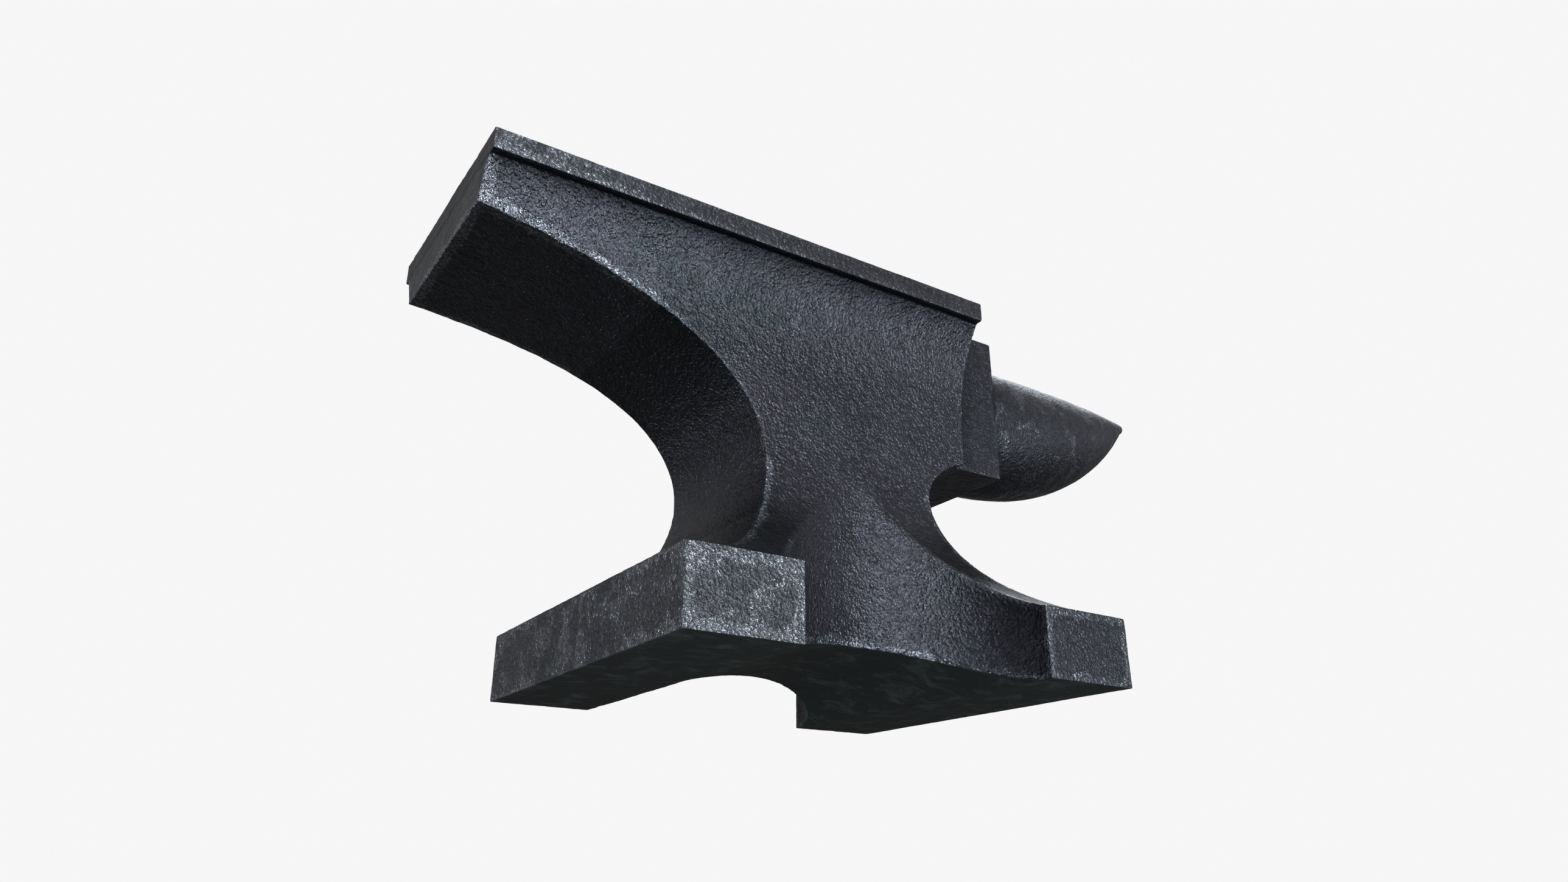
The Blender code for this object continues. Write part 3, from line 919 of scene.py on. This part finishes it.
def make_materials():
    """Each piece's iron, by the piece's name."""
    core = iron("core_iron", CORE_TONE, (0.34, 0.37, 0.43), 0.27, relief=0.7)
    # A lighter, shinier copy of the core's iron on the heel block: painted highlight
    lit_heel_tone = [HEEL_PAINTED_HIGHLIGHT * channel for channel in CORE_TONE]
    heel = iron("heel_iron", lit_heel_tone, (0.50, 0.53, 0.59), 0.25, relief=0.8, shine=1.2)
    # The heel-end feet get a lighter copy of the feet's iron: painted highlight
    lit_heel_foot = iron(
        "foot_iron_heel_end_painted_highlight",
        (0.126, 0.130, 0.150),
        (0.34, 0.36, 0.40),
        0.28,
        relief=0.8,
        shine=0.6,
        patchy=0.27,
    )
    horn_foot = iron(
        "foot_iron_horn_end",
        (0.090, 0.093, 0.110),
        (0.26, 0.28, 0.32),
        0.30,
        relief=0.8,
        shine=0.6,
    )
    face = iron("face_steel", (0.130, 0.134, 0.154), (0.38, 0.40, 0.45), 0.33, relief=0.5)
    table = iron("table_iron", (0.096, 0.099, 0.119), (0.30, 0.33, 0.38), 0.34, relief=0.6, shine=0.4)
    horn = iron(
        "horn_iron",
        (0.106, 0.109, 0.128),
        (0.26, 0.28, 0.32),
        0.42,
        relief=0.5,
        shine=0.7,
        patchy=0.27,
    )
    return {
        "waist_core": core,
        "heel_block": heel,
        "foot_heel_near": lit_heel_foot,
        "foot_heel_far": lit_heel_foot,
        "foot_horn_near": horn_foot,
        "foot_horn_far": horn_foot,
        "face_plate": face,
        "table_block": table,
        "horn": horn,
    }


# ---------------------------------------------------------------- studio
def make_floor():
    """A pale floor that shows only from above, so that a low camera sees the soles."""
    mesh = bpy.data.meshes.new("floor")
    corners = [(-1, -1, 0), (1, -1, 0), (1, 1, 0), (-1, 1, 0)]
    mesh.from_pydata([[FLOOR_REACH * c for c in corner] for corner in corners], [], [(0, 1, 2, 3)])
    floor = bpy.data.objects.new("floor", mesh)
    floor.location.z = -FLOOR_DROP
    bpy.context.scene.collection.objects.link(floor)
    material = bpy.data.materials.new("floor_paint")
    graph = Graph(material)
    coords = graph.coords()
    away = graph.add("ShaderNodeVectorMath", {0: coords}, operation="LENGTH").outputs["Value"]
    far = graph.remap(away, *FLOOR_FADE)
    speckle = graph.noise(coords, 30, 5.0, 0.6)
    paint = graph.mix(speckle, opaque(WHITE, 0.26), opaque(WHITE, 0.30))
    # It glows, more so where it fades into the backdrop, so that no horizon shows.
    graph.shade(
        Base_Color=graph.mix(far, paint, opaque(WHITE, 0)),
        Emission_Color=graph.mix(far, opaque(WHITE, 0.62), opaque(WHITE, BACKDROP)),
        Emission_Strength=1.0,
        Roughness=0.9,
        Specular_IOR_Level=0.0,
    )
    behind = graph.add("ShaderNodeNewGeometry").outputs["Backfacing"]
    clear = graph.add("ShaderNodeBsdfTransparent").outputs[0]
    both = graph.add("ShaderNodeMixShader", {0: behind, 1: graph.shader.outputs[0], 2: clear})
    graph.plug(graph.tree.nodes["Material Output"].inputs["Surface"], both.outputs[0])
    mesh.materials.append(material)
    floor.visible_shadow = False
    floor.visible_glossy = False
    floor.visible_diffuse = False


def make_world():
    """A plain backdrop for the camera, and for the iron a dim sky that is brighter overhead."""
    world = bpy.data.worlds.new("studio")
    bpy.context.scene.world = world
    world.use_nodes = True
    tree = world.node_tree
    tree.nodes.clear()
    seen = tree.nodes.new("ShaderNodeBackground")
    seen.inputs["Color"].default_value = opaque(WHITE, BACKDROP)
    seen.inputs["Strength"].default_value = 1.0
    light = tree.nodes.new("ShaderNodeBackground")
    light.inputs["Strength"].default_value = SKY_STRENGTH
    coords = tree.nodes.new("ShaderNodeTexCoord")
    split = tree.nodes.new("ShaderNodeSeparateXYZ")
    tree.links.new(coords.outputs["Generated"], split.inputs[0])
    sky = tree.nodes.new("ShaderNodeMapRange")
    for key, value in SKY_RANGE.items():
        sky.inputs[key].default_value = value
    tree.links.new(split.outputs["Z"], sky.inputs["Value"])
    tree.links.new(sky.outputs[0], light.inputs["Color"])
    path = tree.nodes.new("ShaderNodeLightPath")
    mixed = tree.nodes.new("ShaderNodeMixShader")
    tree.links.new(path.outputs["Is Camera Ray"], mixed.inputs[0])
    tree.links.new(light.outputs[0], mixed.inputs[1])
    tree.links.new(seen.outputs[0], mixed.inputs[2])
    output = tree.nodes.new("ShaderNodeOutputWorld")
    tree.links.new(mixed.outputs[0], output.inputs["Surface"])


def add_lamp(name, place, target, size, power):
    data = bpy.data.lights.new(name, "AREA")
    data.shape = "RECTANGLE"
    data.size, data.size_y = size
    data.energy = power
    data.color = LAMP_COLOR
    lamp = bpy.data.objects.new(name, data)
    lamp.location = place
    direction = Vector(target) - Vector(place)
    lamp.rotation_euler = direction.to_track_quat("-Z", "Y").to_euler()
    lamp.visible_camera = False
    bpy.context.scene.collection.objects.link(lamp)


def make_camera():
    """The photo's camera: low, close and looking up past the heel."""
    data = bpy.data.cameras.new("camera")
    camera = bpy.data.objects.new("camera", data)
    bpy.context.scene.collection.objects.link(camera)
    bpy.context.scene.camera = camera
    forward = Vector(CAMERA_LOOK).normalized()
    right = forward.cross(Vector((0, 0, 1))).normalized()
    up = right.cross(forward)
    turn = Matrix((right, up, -forward)).transposed()
    camera.matrix_world = Matrix.Translation(CAMERA_PLACE) @ turn.to_4x4()
    data.sensor_width = SENSOR_WIDTH
    data.lens = FOCAL_LENGTH
    data.clip_start = 0.01
    data.clip_end = 50


# ---------------------------------------------------------------- assembly
materials = make_materials()
points, wear, pieces = build_surface()
for piece_name, quads in pieces.items():
    piece = piece_object(piece_name, points, wear, quads)
    piece.data.materials.append(materials[piece_name])
    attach(piece, "root")
    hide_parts(piece_name)
make_floor()
make_world()
for lamp_name, settings in LAMPS.items():
    add_lamp(lamp_name, *settings)
make_camera()
bpy.context.scene.view_settings.view_transform = "Standard"
